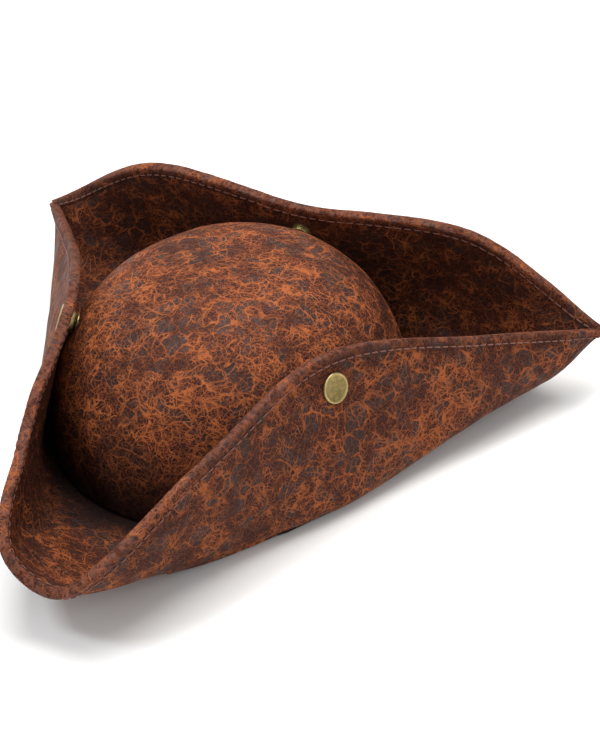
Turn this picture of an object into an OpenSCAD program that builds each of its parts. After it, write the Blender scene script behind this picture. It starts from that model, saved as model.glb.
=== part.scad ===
// Pirate hat: a soft tricorn of imitation leather, worn on the head.
// Millimetres. +Z is up, the front tip points to -Y, the wearer's left is +X.
// The origin is the middle of the head opening, on the surface the hat stands on.

/* [Crown] */
// Half the crown's width at its foot, outside
crown_half_w = 88; // [80:1:96]
// Half the crown's length at its foot, outside
crown_half_l = 101; // [92:1:110]
// Height of the crown above the brim
crown_h = 86; // [70:1:110]
// Roundness of the crown seen from above a slice: 2 is a plain ellipse
crown_side = 2.8; // [2:0.1:4]
// Roundness of the crown seen from the side: 2 is a plain ellipse
crown_dome = 2.15; // [1.6:0.05:3]
// Height of the head opening's plane above the table, where the brim springs from the crown
brim_rise = 3.02; // [2:0.02:6]

/* [Leather and stiffeners] */
// Thickness of one leather ply
leather_t = 1.1; // [0.7:0.1:1.6]
// Thickness of the felt between the brim's two plies
brim_felt_t = 1.2; // [0.6:0.1:2]
// Thickness of the crown's stiffener
crown_felt_t = 0.8; // [0.4:0.1:1.6]
// Thickness of the crown's lining cloth
lining_t = 0.5; // [0.3:0.1:1]
// Thickness of the sweatband
sweatband_t = 1; // [0.6:0.1:2]
// Length of leather covered by the edge binding, each side
binding_w = 5; // [3:0.5:8]
// Thickness of the binding strip
binding_t = 0.9; // [0.6:0.1:1.5]
// Air between the brim's raw edge and the inside of the binding's fold
binding_air = 0.35; // [0.2:0.05:0.6]

/* [Turned-up flaps] */
// How far a flap swings out from its stud, degrees
flap_open = 0; // [0:1:30]
// Direction a side flap faces, degrees forward of straight out to the side
side_yaw = 28; // [24:1:32]
// Distance of a side flap's fold axis from the middle of the head
side_fold = 100; // [98:0.5:104]
// Distance of the back flap's fold axis from the middle of the head
back_fold = 114; // [112:0.5:118]
// Height of the fold axes above the table, below it when negative
fold_h = -1.98; // [-4:0.02:2]
// Slope of the cut between a flap and the brim's foot, degrees
fold_slope = 50; // [40:1:60]
// Clear gap between a flap and the rest of the brim
flap_gap = 0.4; // [0.3:0.1:1]

/* [Press studs] */
// Distance of a press stud from the brim's edge
stud_inset = 16; // [12:1:20]
// Diameter of a press stud's cap
cap_d = 15; // [12:0.5:17]
// Diameter of the socket ring behind the flap
socket_d = 11; // [10:0.5:12.5]
// Diameter of the stud's round head
stud_head_d = 5.4; // [5:0.1:6]
// Diameter of the rivet shanks
shank_d = 3; // [2.5:0.1:3.5]

/* [Hidden] */

span_steps = 5;
foot_rows = 4;
flap_rows = 6;
rows = foot_rows + flap_rows;
crown_cols = 40;
crown_rows = 8;
band_rows = 2;
slack = 0.02;
half_felt = brim_felt_t / 2;
half_brim = half_felt + leather_t;
crown_foot = brim_rise + half_brim + 4 * slack;
head_inset = 1.9;
wall_t = leather_t + crown_felt_t + lining_t;

// ---- brim stations, each measured by hand from the middle of the head ----
// Directions of a flap: along its fold, outward, and square to the cut that frees it
function along(y) = [sin(y), cos(y), 0];
function outward(y) = [cos(y), -sin(y), 0];
up = [0, 0, 1];
function cut_dir(o) = up * sin(fold_slope) - o * cos(fold_slope);
function cut_normal(o) = o * sin(fold_slope) + up * cos(fold_slope);

function head_point(a, in = 0) =
  [(crown_half_w - in) * cos(a), (crown_half_l - in) * sin(a), brim_rise];
function head_normal(a) = unit([cos(a) / crown_half_w, sin(a) / crown_half_l, 0]);
function unit(v) = v / norm(v);
function mirrored(p) = [-p.x, p.y, p.z];

// A station on a flap: angle on the head, reach of the foot, place along the fold, depth of the
// fold, tension either side of it, then the edge and its control as [out, height]
function flap_station(a, reach, w, depth, pull_in, pull_out, ctl, edge, t, o, fold) =
  let (f = o * fold + up * fold_h + t * w + cut_dir(o) * depth, m = cut_normal(o))
  [a, head_point(a, head_inset) + head_normal(a) * reach, f - m * pull_in, f, f + m * pull_out,
   o * ctl[0] + up * (ctl[1] + brim_rise) + t * w,
   o * edge[0] + up * (edge[1] + brim_rise) + t * w];

// A station on a tip: angle on the head, reach of the foot, middle of the spine and its
// direction, then the edge's control and the edge
function tip_station(a, reach, mid, dir, ctl, edge) =
  let (lift = up * brim_rise)
  [a, head_point(a, head_inset) + head_normal(a) * reach,
   mid + lift - dir, mid + lift, mid + lift + dir, ctl + lift, edge + lift];

side_t = along(side_yaw);
side_o = outward(side_yaw);
back_t = [1, 0, 0];
back_o = [0, 1, 0];

front_tip = tip_station(-90, 19, [0, -141, 2], [0, -13, 6], [0, -172, 16], [0, -186, 23.5]);
front_bend = tip_station(-68, 15, [30, -137, 10], [5, -13, 9], [25, -174, 27], [24, -179.5, 41]);
side_front = flap_station(-46, 11, -92, 14, 9, 12, [101.5, 45], [96.5, 60.5],
    side_t, side_o, side_fold);
side_mid = flap_station(-16, 4.5, 0, 9.5, 6.5, 9, [82, 52.5], [76, 75.2],
    side_t, side_o, side_fold);
side_back = flap_station(22, 10, 94, 19, 8, 9, [91.5, 31], [80, 50],
    side_t, side_o, side_fold);
back_tip = tip_station(40, 18, [132, 79.5, 7], [17, 8, 5], [150, 95, 27], [161.5, 107, 30.5]);
back_side = flap_station(62, 10, 90, 12, 7, 12, [108, 46], [95, 76],
    back_t, back_o, back_fold);
back_mid = flap_station(90, 6, 0, 9, 6, 9, [90, 50], [85, 76.5],
    back_t, back_o, back_fold);

function flip(s) = [180 - s[0], for (k = [1:6]) mirrored(s[k])];
function turn(s, by) = [s[0] + by, for (k = [1:6]) s[k]];

side_loop = [turn(flip(back_tip), -360), turn(flip(side_back), -360), turn(flip(side_mid), -360),
             turn(flip(side_front), -360), turn(flip(front_bend), -360), front_tip, front_bend,
             side_front, side_mid, side_back, back_tip];
back_loop = [back_tip, back_side, back_mid, flip(back_side), flip(back_tip)];
side_cols = (len(side_loop) - 1) * span_steps;
back_cols = (len(back_loop) - 1) * span_steps;
cols = side_cols + back_cols;

// A smooth curve through neighbouring stations, row k of each
function ends(list, k, i) =
  i < 0 ? 2 * list[0][k] - list[1][k]
  : i >= len(list) ? 2 * list[len(list) - 1][k] - list[len(list) - 2][k]
  : list[i][k];
function through(list, k, i, t) =
  let (a = ends(list, k, i - 1), b = ends(list, k, i), c = ends(list, k, i + 1),
       d = ends(list, k, i + 2))
  (2 * b + (c - a) * t + (2 * a - 5 * b + 4 * c - d) * t * t
   + (3 * b - a - 3 * c + d) * t * t * t) / 2;

function station_at(list, q) =
  let (i = min(floor(q), len(list) - 2), t = q - i, a = through(list, 0, i, t))
  [head_point(a, head_inset), for (k = [1:6]) through(list, k, i, t)];

// Fold line kept in the cut's plane, so that the flap swings clear
function on_cut(c, t, o, fold) =
  let (m = cut_normal(o), off = (c[3] - o * fold - up * fold_h) * m * m)
  [c[0], c[1], c[2] - off, c[3] - off, c[4] - off, c[5], c[6]];

// Which flap a column is part of: 0 none, 1 right, 2 left, 3 back
s = span_steps;
flap_cols = [[s, 3 * s], [7 * s, 9 * s], [11 * s, 13 * s]];
function flap_of(i) =
  let (c = (i + cols) % cols)
  c >= flap_cols[0][0] && c <= flap_cols[0][1] ? 1
  : c >= flap_cols[1][0] && c <= flap_cols[1][1] ? 2
  : c >= flap_cols[2][0] && c <= flap_cols[2][1] ? 3 : 0;
flap_t = [undef, mirrored(side_t), side_t, back_t];
flap_o = [undef, mirrored(side_o), side_o, back_o];
flap_fold = [undef, side_fold, side_fold, back_fold];

function column(i) =
  let (c = (i + cols) % cols, f = flap_of(c),
       raw = c <= side_cols ? station_at(side_loop, c / s)
                            : station_at(back_loop, (c - side_cols) / s))
  f == 0 ? raw : on_cut(raw, flap_t[f], flap_o[f], flap_fold[f]);
columns = [for (i = [0:cols - 1]) column(i)];

function bezier(a, b, c, d, u) =
  pow(1 - u, 3) * a + 3 * pow(1 - u, 2) * u * b + 3 * (1 - u) * u * u * c + pow(u, 3) * d;
function bezier_way(a, b, c, d, u) =
  pow(1 - u, 2) * (b - a) + 2 * (1 - u) * u * (c - b) + u * u * (d - c);

// Row j of a column: the foot first, then the flap, whose last row is as wide as the binding
function row_at(c, j) =
  j <= foot_rows ? j / foot_rows
  : let (last = 1 - binding_w / (3 * norm(c[6] - c[5])))
    j == rows ? 1 : last * (j - foot_rows) / (flap_rows - 1);
function part_of(c, j) = j <= foot_rows ? [c[0], c[1], c[2], c[3]] : [c[3], c[4], c[5], c[6]];
function brim_point(c, j) =
  let (p = part_of(c, j)) bezier(p[0], p[1], p[2], p[3], row_at(c, j));
function brim_way(c, j) =
  let (p = part_of(c, j)) unit(bezier_way(p[0], p[1], p[2], p[3], row_at(c, j)));

mid_points = [for (c = columns) [for (j = [0:rows]) brim_point(c, j)]];
mid_ways = [for (c = columns) [for (j = [0:rows]) brim_way(c, j)]];

// Upward normal of the brim; at the two back tips both sides count, at a flap's border it
// stays in the plane of the cut
function side_of(i, j, step) =
  let (k = (i + step + cols) % cols, d = (mid_points[k][j] - mid_points[i][j]) * step)
  unit(cross(mid_ways[i][j], d));
function free_normal(i, j) = unit(side_of(i, j, 1) + side_of(i, j, -1));
function is_border(i) = len([for (f = flap_cols) if (i == f[0] || i == f[1]) 1]) > 0;
function less(v, n) = v - n * (v * n);
function brim_normal(i, j) =
  let (f = flap_of(i), a = free_normal(i, j),
       b = f > 0 && is_border(i) && j >= foot_rows ? less(a, flap_t[f]) : a,
       c = f > 0 && j == foot_rows ? less(b, cut_normal(flap_o[f])) : b)
  unit(c);
normals = [for (i = [0:cols - 1]) [for (j = [0:rows]) brim_normal(i, j)]];

// ---- closed shells over a grid of columns and rows ----
// Offset points of one ply; a flap's own border is drawn back to leave the clear gap
function shift(i, j, f) =
  f == 0 ? [0, 0, 0]
  : (j == foot_rows ? cut_normal(flap_o[f]) * flap_gap : [0, 0, 0])
    + (i == flap_cols[f - 1][0] ? inward(f, i) : i == flap_cols[f - 1][1] ? inward(f, i)
       : [0, 0, 0]);
function inward(f, i) =
  let (mid = mid_points[(flap_cols[f - 1][0] + flap_cols[f - 1][1]) / 2][rows],
       d = (mid - mid_points[i][rows]) * flap_t[f])
  flap_t[f] * sign(d) * flap_gap;

function in_brim(i, j) =
  j >= 0 && j < rows && (j < foot_rows || flap_of(i) == 0 || flap_of(i + 1) == 0
                         || flap_of(i) != flap_of(i + 1));
function in_flap(i, j, f) =
  j >= foot_rows && j < rows && i >= flap_cols[f - 1][0] && i < flap_cols[f - 1][1];
function live(i, j, f) =
  let (c = (i + cols) % cols) f == 0 ? in_brim(c, j) : in_flap(c, j, f);

function corner(i, j, low) = (((i + cols) % cols) * (rows + 1) + j) * 2 + low;
function quad(a, b, c, d) = [[a, b, c], [a, c, d]];
function cell(i, j, f) =
  let (a = corner(i, j, 0), b = corner(i + 1, j, 0), c = corner(i + 1, j + 1, 0),
       d = corner(i, j + 1, 0))
  concat(quad(a, b, c, d), [[a + 1, c + 1, b + 1], [a + 1, d + 1, c + 1]],
         live(i, j - 1, f) ? [] : quad(b, a, a + 1, b + 1),
         live(i + 1, j, f) ? [] : quad(c, b, b + 1, c + 1),
         live(i, j + 1, f) ? [] : quad(d, c, c + 1, d + 1),
         live(i - 1, j, f) ? [] : quad(a, d, d + 1, a + 1));

module ply(high, low, f) {
  points = [for (i = [0:cols - 1]) for (j = [0:rows]) for (h = [high, low])
            mid_points[i][j] + normals[i][j] * h + shift(i, j, f)];
  faces = [for (i = [0:cols - 1]) for (j = [0:rows - 1])
           if (live(i, j, f)) each cell(i, j, f)];
  polyhedron(points, faces, convexity = 10);
}

// Binding: a strip folded round the edge, from column a to column b
function binding_ring(i, f) =
  let (k = (i + cols) % cols, j = rows - 1, h = half_brim + 4 * slack, t = h + binding_t,
       p = mid_points[k][j] + shift(k, j, f), n = normals[k][j], e = mid_points[k][rows]
       + shift(k, rows, f), m = normals[k][rows], raw = mid_ways[k][rows],
       w = unit(less(is_border(k) ? less(raw, flap_t[flap_of(k)]) : raw, m)))
  [p + n * h, p + n * (t - 0.2), e + m * t, e + m * h + w * (binding_t + binding_air),
   e - m * h + w * (binding_t + binding_air), e - m * t, p - n * (t - 0.2), p - n * h,
   e - m * h + w * binding_air, e + m * h + w * binding_air];
// Whether the inside of the fold, between two rings, bows away from the brim's raw edge when it is
// split from the first ring's top to the second ring's bottom
function bows_out(r, q) =
  (r[9] - r[8] - q[9] + q[8]) * (r[3] - r[9] + q[3] - q[9]) >= 0;
module binding(a, b, f) {
  rings = [for (i = [a:b]) binding_ring(i, f)];
  n = len(rings[0]);
  last = len(rings) - 1;
  points = [for (r = rings) each r];
  sides = [for (i = [0:last - 1]) for (k = [0:n - 1])
           let (m = (k + 1) % n, a0 = i * n + k, a1 = i * n + m)
           each (k == 9 || (k == 8 && bows_out(rings[i], rings[i + 1])) ? [[a0, a0 + n, a1], [a0 + n, a1 + n, a1]]
                        : [[a0, a0 + n, a1 + n], [a0, a1 + n, a1]])];
  cap = [[0, 1, 9], [1, 2, 9], [2, 3, 9], [3, 8, 9], [3, 4, 8], [4, 5, 8], [5, 6, 8], [6, 7, 8]];
  first_cap = [for (q = cap) q];
  last_cap = [for (q = cap) [q[2] + last * n, q[1] + last * n, q[0] + last * n]];
  polyhedron(points, concat(sides, first_cap, last_cap), convexity = 10);
}

// ---- crown ----
// Point of a crown surface set in by d, at turn a and climb c
function crown_point(a, c, d) =
  let (r = pow(max(cos(c), 0), 2 / crown_side), z = pow(sin(c), 2 / crown_dome))
  [(crown_half_w - d) * r * cos(a), (crown_half_l - d) * r * sin(a),
   crown_foot + (crown_h - d) * z];
function climb(k) = 90 * pow(k / crown_rows, 1.15);
module crown_ply(out, in) {
  n = crown_cols;
  rings = [for (d = [out, in]) for (k = [0:crown_rows - 1]) for (i = [0:n - 1])
           crown_point(360 * i / n, climb(k), d)];
  points = concat(rings, [crown_point(0, 90, out), crown_point(0, 90, in)]);
  half = n * crown_rows;
  top = 2 * half;
  faces = [for (i = [0:n - 1]) let (m = (i + 1) % n)
    each concat(
      [for (k = [0:crown_rows - 2]) each quad(k * n + m, k * n + i, (k + 1) * n + i,
                                              (k + 1) * n + m)],
      [for (k = [0:crown_rows - 2]) each quad(half + k * n + i, half + k * n + m,
                                              half + (k + 1) * n + m, half + (k + 1) * n + i)],
      quad(i, m, half + m, half + i),
      [[half - n + m, half - n + i, top], [2 * half - n + i, 2 * half - n + m, top + 1]])];
  polyhedron(points, faces, convexity = 6);
}

// ---- press studs ----
// Place of a flap's stud: point on the brim's middle surface, and its outward direction
function along_edge(c, u) = bezier(c[3], c[4], c[5], c[6], u);
function inset_at(c, u, d) =
  norm(along_edge(c, u) - c[6]) >= d || u < 0.1 ? u : inset_at(c, u - 0.002, d);
stud_cols = [undef, 2 * s, 8 * s, 12 * s];
function stud_place(f) =
  let (c = columns[stud_cols[f]], u = inset_at(c, 1, stud_inset))
  [along_edge(c, u), unit(cross(flap_t[f], bezier_way(c[3], c[4], c[5], c[6], u)))];
function level(p) =
  pow(norm([p.x / crown_half_w, p.y / crown_half_l]), crown_side)
  + pow(max(p.z - crown_foot, 0) / crown_h, crown_dome) - 1;
function to_crown(p, d, t) = level(p - d * t) <= 0 || t > 30 ? t : to_crown(p, d, t + 0.02);
function facing(p, d) = d * [p.x, p.y, 0] > 0 ? d : -d;

module at_stud(f) {
  place = stud_place(f);
  d = facing(place[0], place[1]);
  translate(place[0])
    rotate([0, acos(d.z), atan2(d.y, d.x)])
      children();
}
function stud_drop(f) =
  let (place = stud_place(f), d = facing(place[0], place[1])) to_crown(place[0], d, 0);

hole_r = shank_d / 2 + 0.1;
seat = 0.25;
module flap_hole(f) {
  at_stud(f) {
    cylinder(h = 12, r = hole_r, center = true, $fn = 64);
    translate([0, 0, half_brim - seat]) cylinder(h = 4, r = cap_d / 2 + 0.1, $fn = 96);
    translate([0, 0, -half_brim + seat - 2.4]) cylinder(h = 2.4, r = socket_d / 2 + 0.1, $fn = 96);
  }
}
module crown_hole(f) {
  drop = stud_drop(f);
  at_stud(f) {
    translate([0, 0, -drop - 6]) cylinder(h = 8, r = hole_r, $fn = 64);
    translate([0, 0, -drop - seat]) cylinder(h = 3, r = 5.1, $fn = 96);
    translate([0, 0, -drop - wall_t - 3 + seat]) cylinder(h = 3, r = 4.6, $fn = 96);
  }
}

// Cap: dished disc with a raised rim, and the shank that joins it to the socket
module cap(f) {
  flange = 2 * (half_brim - seat) + 0.4 + slack + 0.3;
  color("#a08a4c") at_stud(f) translate([0, 0, half_brim - seat])
    rotate_extrude($fn = 96)
      polygon([[0, -flange], [2.2, -flange], [2.2, 0.3 - flange], [shank_d / 2, 0.3 - flange],
               [shank_d / 2, 0],
               [cap_d / 2 - 0.5, 0], [cap_d / 2, 0.5], [cap_d / 2, 1.1], [cap_d / 2 - 0.4, 1.5],
               [cap_d / 2 - 1, 1.45], [cap_d / 2 - 1.5, 1.05], [cap_d / 3, 1.15], [0, 1.3]]);
}
// Socket: plate against the flap and a ring that closes over the stud's head
module socket(f) {
  drop = stud_drop(f);
  deep = drop - half_brim - 1.2;
  color("#8d7a45") at_stud(f) translate([0, 0, -half_brim + seat])
    rotate_extrude($fn = 96)
      polygon([[hole_r, 0], [hole_r, -0.4], [3.4, -0.4], [3.4, -deep], [3.9, -deep - 0.25],
               [socket_d / 2 - 0.8, -deep - 0.25], [socket_d / 2, -deep + 0.6],
               [socket_d / 2, 0]]);
}
// Stud: flange on the crown with a round head
module stud(f) {
  drop = stud_drop(f);
  r = stud_head_d / 2;
  color("#8d7a45") at_stud(f) translate([0, 0, -drop - seat])
    rotate_extrude($fn = 96)
      polygon([[0, 0], [5, 0], [5, 0.5], [4.4, 0.9], [r - 0.7, 1], [r - 0.7, 1.5], [r, 2],
               [r - 0.1, 2.5], [r - 0.6, 2.9], [r - 1.4, 3.1], [0, 3.15]]);
}
// Rivet: shank through the crown's wall and a flat head against the lining
module stud_rivet(f) {
  drop = stud_drop(f);
  color("#8d7a45") at_stud(f) translate([0, 0, -drop - seat - slack])
    rotate_extrude($fn = 96)
      polygon([[0, 0], [shank_d / 2, 0], [shank_d / 2, seat * 2 - wall_t], [4.5, seat * 2 - wall_t],
               [4.5, -wall_t + seat * 2 - 0.5], [4, -wall_t + seat * 2 - 0.8],
               [0, -wall_t + seat * 2 - 0.8]]);
}

// ---- nodes ----
module crown_cut(out, in) {
  difference() {
    crown_ply(out, in);
    for (f = [1:3]) crown_hole(f);
  }
}
module crown_shell() { color("#7a3a1e") crown_cut(0, leather_t); }
module crown_stiffener() { color("#4a4540") crown_cut(leather_t, leather_t + crown_felt_t); }
module crown_lining() { color("#2a2422") crown_cut(leather_t + crown_felt_t, wall_t); }
module sweatband() {
  n = crown_cols;
  d = wall_t + 0.1;
  low = brim_rise - half_brim - crown_foot;
  ring = [for (e = [d, d + sweatband_t]) for (k = [-1:band_rows]) for (i = [0:n - 1])
          k < 0 ? crown_point(360 * i / n, 0, e) + up * low
                : crown_point(360 * i / n, climb(k), e)];
  m = band_rows + 2;
  half = n * m;
  faces = [for (i = [0:n - 1]) let (q = (i + 1) % n)
    each concat(
      [for (k = [0:m - 2]) each quad(k * n + q, k * n + i, (k + 1) * n + i, (k + 1) * n + q)],
      [for (k = [0:m - 2]) each quad(half + k * n + i, half + k * n + q,
                                     half + (k + 1) * n + q, half + (k + 1) * n + i)],
      quad(i, q, half + q, half + i),
      quad(half - n + q, half - n + i, 2 * half - n + i, 2 * half - n + q))];
  color("#1d1a19") polyhedron(ring, faces, convexity = 4);
}

module brim_upper_leather() { color("#5e2c1a") ply(half_brim, half_felt, 0); }
module brim_felt() { color("#3a3634") ply(half_felt, -half_felt, 0); }
module brim_under_leather() { color("#6b331d") ply(-half_felt, -half_brim, 0); }
module front_tip_binding() { color("#6e3a26") binding(3 * s, 7 * s, 0); }
module left_tip_binding() { color("#6e3a26") binding(9 * s, 11 * s, 0); }
module right_tip_binding() { color("#6e3a26") binding(13 * s, 15 * s, 0); }

module left_stud() { stud(2); }
module right_stud() { stud(1); }
module back_stud() { stud(3); }
module left_stud_rivet() { stud_rivet(2); }
module right_stud_rivet() { stud_rivet(1); }
module back_stud_rivet() { stud_rivet(3); }

// A flap, swung out about its fold axis when flap_open is not 0
module swung(f) {
  foot = flap_o[f] * flap_fold[f] + up * fold_h;
  translate(foot)
    rotate(a = flap_open, v = cross(up, flap_o[f]))
      translate(-foot)
        children();
}
module flap_ply(high, low, f) {
  swung(f) difference() {
    ply(high, low, f);
    flap_hole(f);
  }
}
module upper(f) { color("#5e2c1a") flap_ply(half_brim, half_felt, f); }
module felt(f) { color("#3a3634") flap_ply(half_felt, -half_felt, f); }
module under(f) { color("#6b331d") flap_ply(-half_felt, -half_brim, f); }
module edge(f) { color("#6e3a26") swung(f) binding(flap_cols[f - 1][0], flap_cols[f - 1][1], f); }

module left_flap_upper_leather() { upper(2); }
module left_flap_felt() { felt(2); }
module left_flap_under_leather() { under(2); }
module left_flap_binding() { edge(2); }
module left_flap_cap() { swung(2) cap(2); }
module left_flap_socket() { swung(2) socket(2); }
module right_flap_upper_leather() { upper(1); }
module right_flap_felt() { felt(1); }
module right_flap_under_leather() { under(1); }
module right_flap_binding() { edge(1); }
module right_flap_cap() { swung(1) cap(1); }
module right_flap_socket() { swung(1) socket(1); }
module back_flap_upper_leather() { upper(3); }
module back_flap_felt() { felt(3); }
module back_flap_under_leather() { under(3); }
module back_flap_binding() { edge(3); }
module back_flap_cap() { swung(3) cap(3); }
module back_flap_socket() { swung(3) socket(3); }

crown_shell();
crown_stiffener();
crown_lining();
sweatband();
brim_upper_leather();
brim_felt();
brim_under_leather();
front_tip_binding();
left_tip_binding();
right_tip_binding();
left_stud();
right_stud();
back_stud();
left_stud_rivet();
right_stud_rivet();
back_stud_rivet();
left_flap_upper_leather();
left_flap_felt();
left_flap_under_leather();
left_flap_binding();
left_flap_cap();
left_flap_socket();
right_flap_upper_leather();
right_flap_felt();
right_flap_under_leather();
right_flap_binding();
right_flap_cap();
right_flap_socket();
back_flap_upper_leather();
back_flap_felt();
back_flap_under_leather();
back_flap_binding();
back_flap_cap();
back_flap_socket();
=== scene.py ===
"""Pirate hat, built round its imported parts: leather, binding, thread, press studs, lining and studio."""

import math

import bpy
import numpy as np
from bpy.props import FloatProperty, FloatVectorProperty, IntProperty, PointerProperty
from mathutils import Euler, Matrix, Vector, noise


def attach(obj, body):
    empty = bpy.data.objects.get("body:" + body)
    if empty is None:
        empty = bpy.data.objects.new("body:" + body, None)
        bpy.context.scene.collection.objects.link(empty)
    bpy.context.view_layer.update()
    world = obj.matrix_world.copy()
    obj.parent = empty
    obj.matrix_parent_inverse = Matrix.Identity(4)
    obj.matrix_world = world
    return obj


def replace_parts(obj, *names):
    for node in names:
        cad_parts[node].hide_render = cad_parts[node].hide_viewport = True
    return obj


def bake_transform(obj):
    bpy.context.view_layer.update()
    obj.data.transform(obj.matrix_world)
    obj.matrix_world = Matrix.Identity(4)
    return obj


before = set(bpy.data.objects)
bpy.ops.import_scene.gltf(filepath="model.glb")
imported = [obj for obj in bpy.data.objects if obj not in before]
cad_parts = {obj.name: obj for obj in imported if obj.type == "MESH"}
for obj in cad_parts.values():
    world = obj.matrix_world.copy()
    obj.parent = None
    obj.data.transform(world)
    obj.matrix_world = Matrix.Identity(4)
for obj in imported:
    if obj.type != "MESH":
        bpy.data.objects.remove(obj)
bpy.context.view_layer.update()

bl_info = {
    "name": "Pirate hat",
    "blender": (4, 5, 0),
    "version": (1, 0, 0),
    "location": "3D View > Sidebar > Hat",
    "description": "Builds a soft tricorn hat with snapped-up flaps",
    "category": "Add Mesh",
}

MM = 0.001


# ---------------------------------------------------------------- settings


class HatShape(bpy.types.PropertyGroup):
    """Sizes of the hat, in millimetres."""

    crown_half_w: FloatProperty(
        name="Crown half width", description="Half the crown's width at its foot", default=88, min=80, max=96
    )
    crown_half_l: FloatProperty(
        name="Crown half length", description="Half the crown's length at its foot", default=101, min=92,
        max=110,
    )
    crown_h: FloatProperty(
        name="Crown height", description="Height of the crown above the brim", default=86, min=70, max=110
    )
    crown_side: FloatProperty(
        name="Crown side", description="Squareness of the crown across", default=2.8, min=2, max=4
    )
    crown_dome: FloatProperty(
        name="Crown dome", description="Squareness of the crown upwards", default=2.15, min=1.6, max=3
    )
    brim_rise: FloatProperty(
        name="Brim rise", description="Height of the head opening's plane", default=3.02, min=2, max=6
    )
    leather_t: FloatProperty(
        name="Leather", description="Thickness of one leather ply", default=1.1, min=0.7, max=1.6
    )
    felt_t: FloatProperty(
        name="Brim felt", description="Thickness of the felt in the brim", default=1.2, min=0.6, max=2
    )
    crown_felt_t: FloatProperty(
        name="Crown stiffener", description="Thickness of the crown's stiffener", default=0.8, min=0.4,
        max=1.6,
    )
    lining_t: FloatProperty(
        name="Lining", description="Thickness of the lining cloth", default=0.5, min=0.3, max=1
    )
    binding_w: FloatProperty(
        name="Binding width", description="Width of the binding on each face", default=5, min=3, max=8
    )
    side_yaw: FloatProperty(
        name="Side flap turn", description="Degrees a side flap faces forward", default=28, min=24, max=32
    )
    side_fold: FloatProperty(
        name="Side fold", description="Distance of a side fold from the middle", default=100, min=98, max=104
    )
    back_fold: FloatProperty(
        name="Back fold", description="Distance of the back fold from the middle", default=114, min=112,
        max=118,
    )
    fold_h: FloatProperty(
        name="Fold height", description="Height of the fold axes", default=-1.98, min=-4, max=2
    )
    fold_slope: FloatProperty(
        name="Fold slope", description="Slope of the cut at the fold, in degrees", default=50, min=40, max=60
    )
    stud_inset: FloatProperty(
        name="Stud inset", description="Distance of a press stud from the edge", default=16, min=12, max=20
    )
    stud_head_d: FloatProperty(
        name="Stud head", description="Diameter of a press stud's head", default=5.4, min=5, max=6
    )
    cap_d: FloatProperty(name="Cap", description="Diameter of a press stud's cap", default=15, min=12, max=17)
    stitch: FloatProperty(
        name="Stitch", description="Length of one stitch with its gap", default=5.0, min=2, max=8
    )
    detail: IntProperty(
        name="Detail", description="Columns of leather between two stations", default=26, min=8, max=60
    )


class HatLook(bpy.types.PropertyGroup):
    """Colours of the hat."""

    rust: FloatVectorProperty(
        name="Rust", description="Light colour of the rubbed leather", subtype="COLOR", size=3,
        default=(0.25, 0.056, 0.0165), min=0, max=1,
    )
    bark: FloatVectorProperty(
        name="Bark", description="Dark colour between the rubbed lines", subtype="COLOR", size=3,
        default=(0.020, 0.0056, 0.0052), min=0, max=1,
    )
    char: FloatVectorProperty(
        name="Charcoal", description="Colour of the blotches", subtype="COLOR", size=3,
        default=(0.034, 0.0165, 0.0135), min=0, max=1,
    )
    brass: FloatVectorProperty(
        name="Brass", description="Colour of the press studs", subtype="COLOR", size=3,
        default=(0.38, 0.285, 0.105), min=0, max=1,
    )


def shape():
    return bpy.context.scene.hat_shape


def look():
    return bpy.context.scene.hat_look


# ---------------------------------------------------------------- shader nodes


class Sock:
    """A shader socket that takes part in Python sums."""

    def __init__(self, net, out):
        self.net, self.out = net, out

    def op(self, name, *others, clamp=False):
        return self.net.math(name, self, *others, clamp=clamp)

    def __add__(self, o):
        return self.op("ADD", o)

    __radd__ = __add__

    def __sub__(self, o):
        return self.op("SUBTRACT", o)

    def __rsub__(self, o):
        return self.net.math("SUBTRACT", o, self)

    def __mul__(self, o):
        return self.op("MULTIPLY", o)

    __rmul__ = __mul__

    def __truediv__(self, o):
        return self.op("DIVIDE", o)

    def __rtruediv__(self, o):
        return self.net.math("DIVIDE", o, self)

    def __pow__(self, o):
        return self.op("POWER", o)

    def __abs__(self):
        return self.op("ABSOLUTE")

    def __neg__(self):
        return self.op("MULTIPLY", -1.0)

    def steps(self, low, high):
        """0 below low, 1 above high, smooth between them."""
        return self.net.ramp(self, low, high)

    def clamp(self):
        return self.op("ADD", 0.0, clamp=True)


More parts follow.
